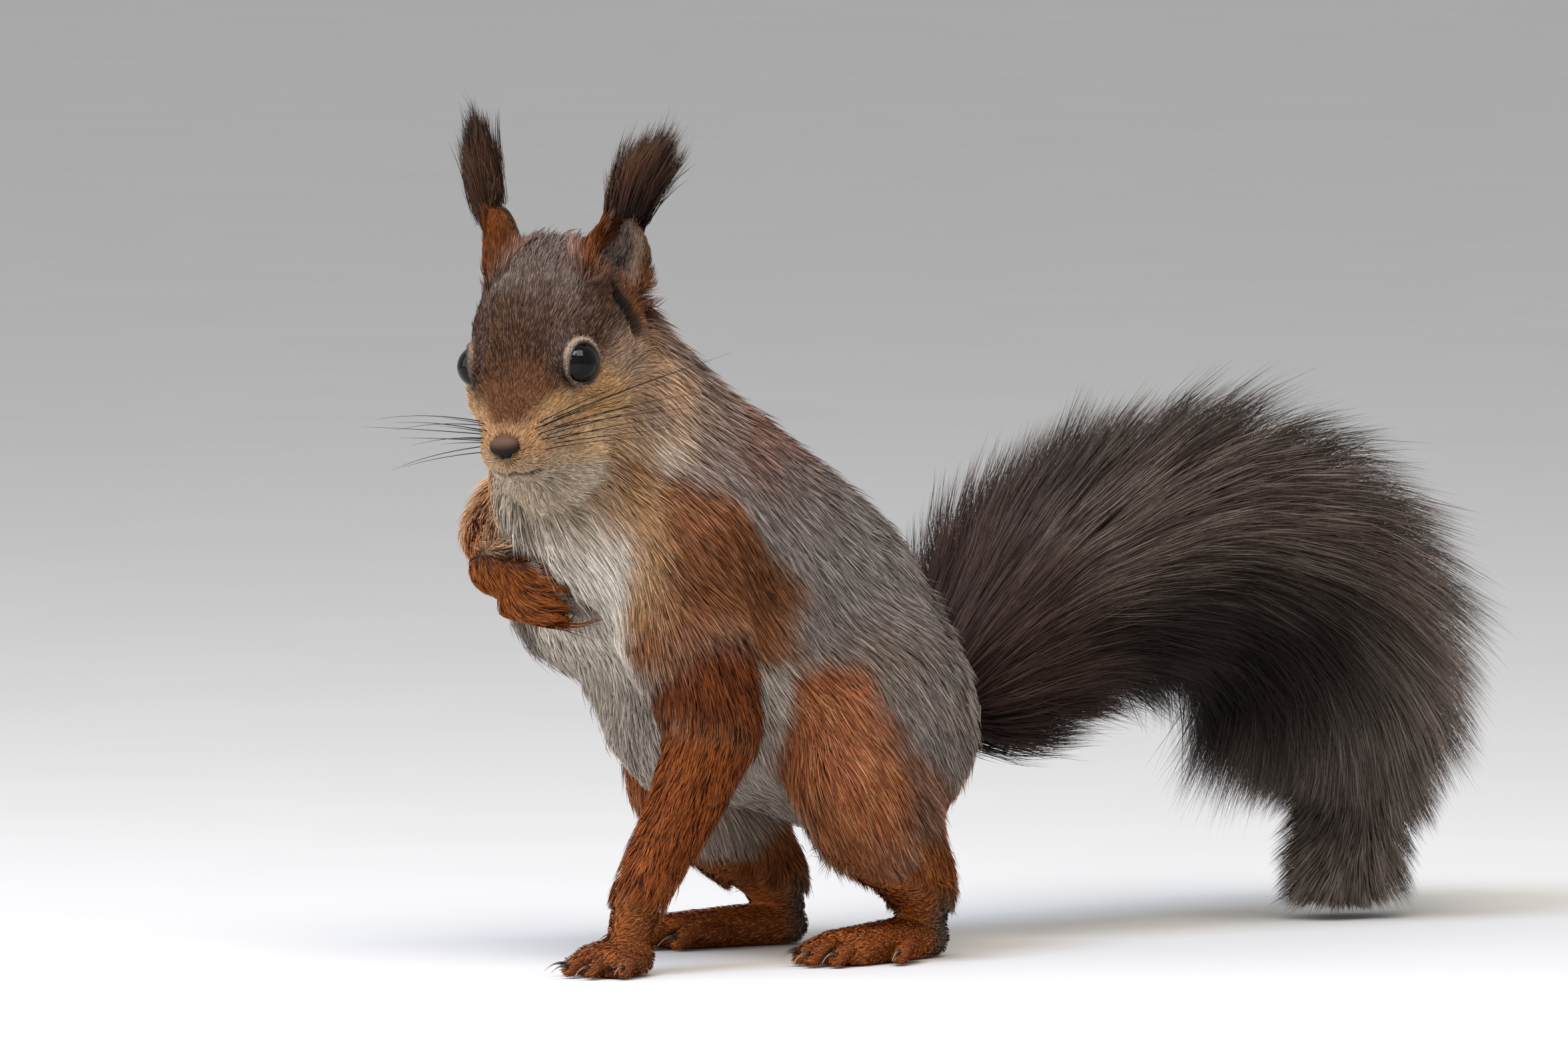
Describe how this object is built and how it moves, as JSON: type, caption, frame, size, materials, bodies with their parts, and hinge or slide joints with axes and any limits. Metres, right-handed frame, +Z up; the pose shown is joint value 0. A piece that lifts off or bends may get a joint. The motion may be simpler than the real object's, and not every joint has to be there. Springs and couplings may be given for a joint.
{
  "type": "red squirrel",
  "caption": "Red squirrel sitting up, head turned, one forepaw set down and the other held at its breast, ears tufted, bushy tail arched behind to the ground; a still model.",
  "frame": {"origin": "on the ground, under the middle of the animal's box, tail included", "axes": "-Y the way the body faces, +X its left side, +Z up; the head is turned about 29 degrees to its left"},
  "size_m": [0.0892, 0.3108, 0.2004],
  "materials": {
    "crown_fur": "short dense hair, brown and rufous, grizzled",
    "back_fur": "dense hair, grey with pale tips over a white breast",
    "leg_fur": "short hair, deep orange rufous",
    "ear_fur": "thin skin with short furry hair, rufous edges",
    "tuft_hair": "long dark brown hair with rust edges",
    "plume_hair": "very long loose dark brown hair, paler ends",
    "eye": "wet, glossy, near black",
    "nose_skin": "velvety dark skin"
  },
  "bodies": {
    "root": {"ear_left": "ear_fur", "ear_right": "ear_fur", "ear_tuft_left": "tuft_hair", "ear_tuft_right": "tuft_hair", "eye_left": "eye", "eye_right": "eye", "forearm_left": "leg_fur", "forearm_right": "leg_fur", "forepaw_left": "leg_fur", "forepaw_right": "leg_fur", "head": "crown_fur", "hind_foot_left": "leg_fur", "hind_foot_right": "leg_fur", "neck": "back_fur", "nose": "nose_skin", "shank_left": "leg_fur", "shank_right": "leg_fur", "tail_arch": "plume_hair", "tail_base": "plume_hair", "tail_bend": "plume_hair", "tail_tip": "plume_hair", "thigh_left": "leg_fur", "thigh_right": "leg_fur", "trunk": "back_fur", "upper_arm_left": "leg_fur", "upper_arm_right": "leg_fur"}
  },
  "joints": []
}
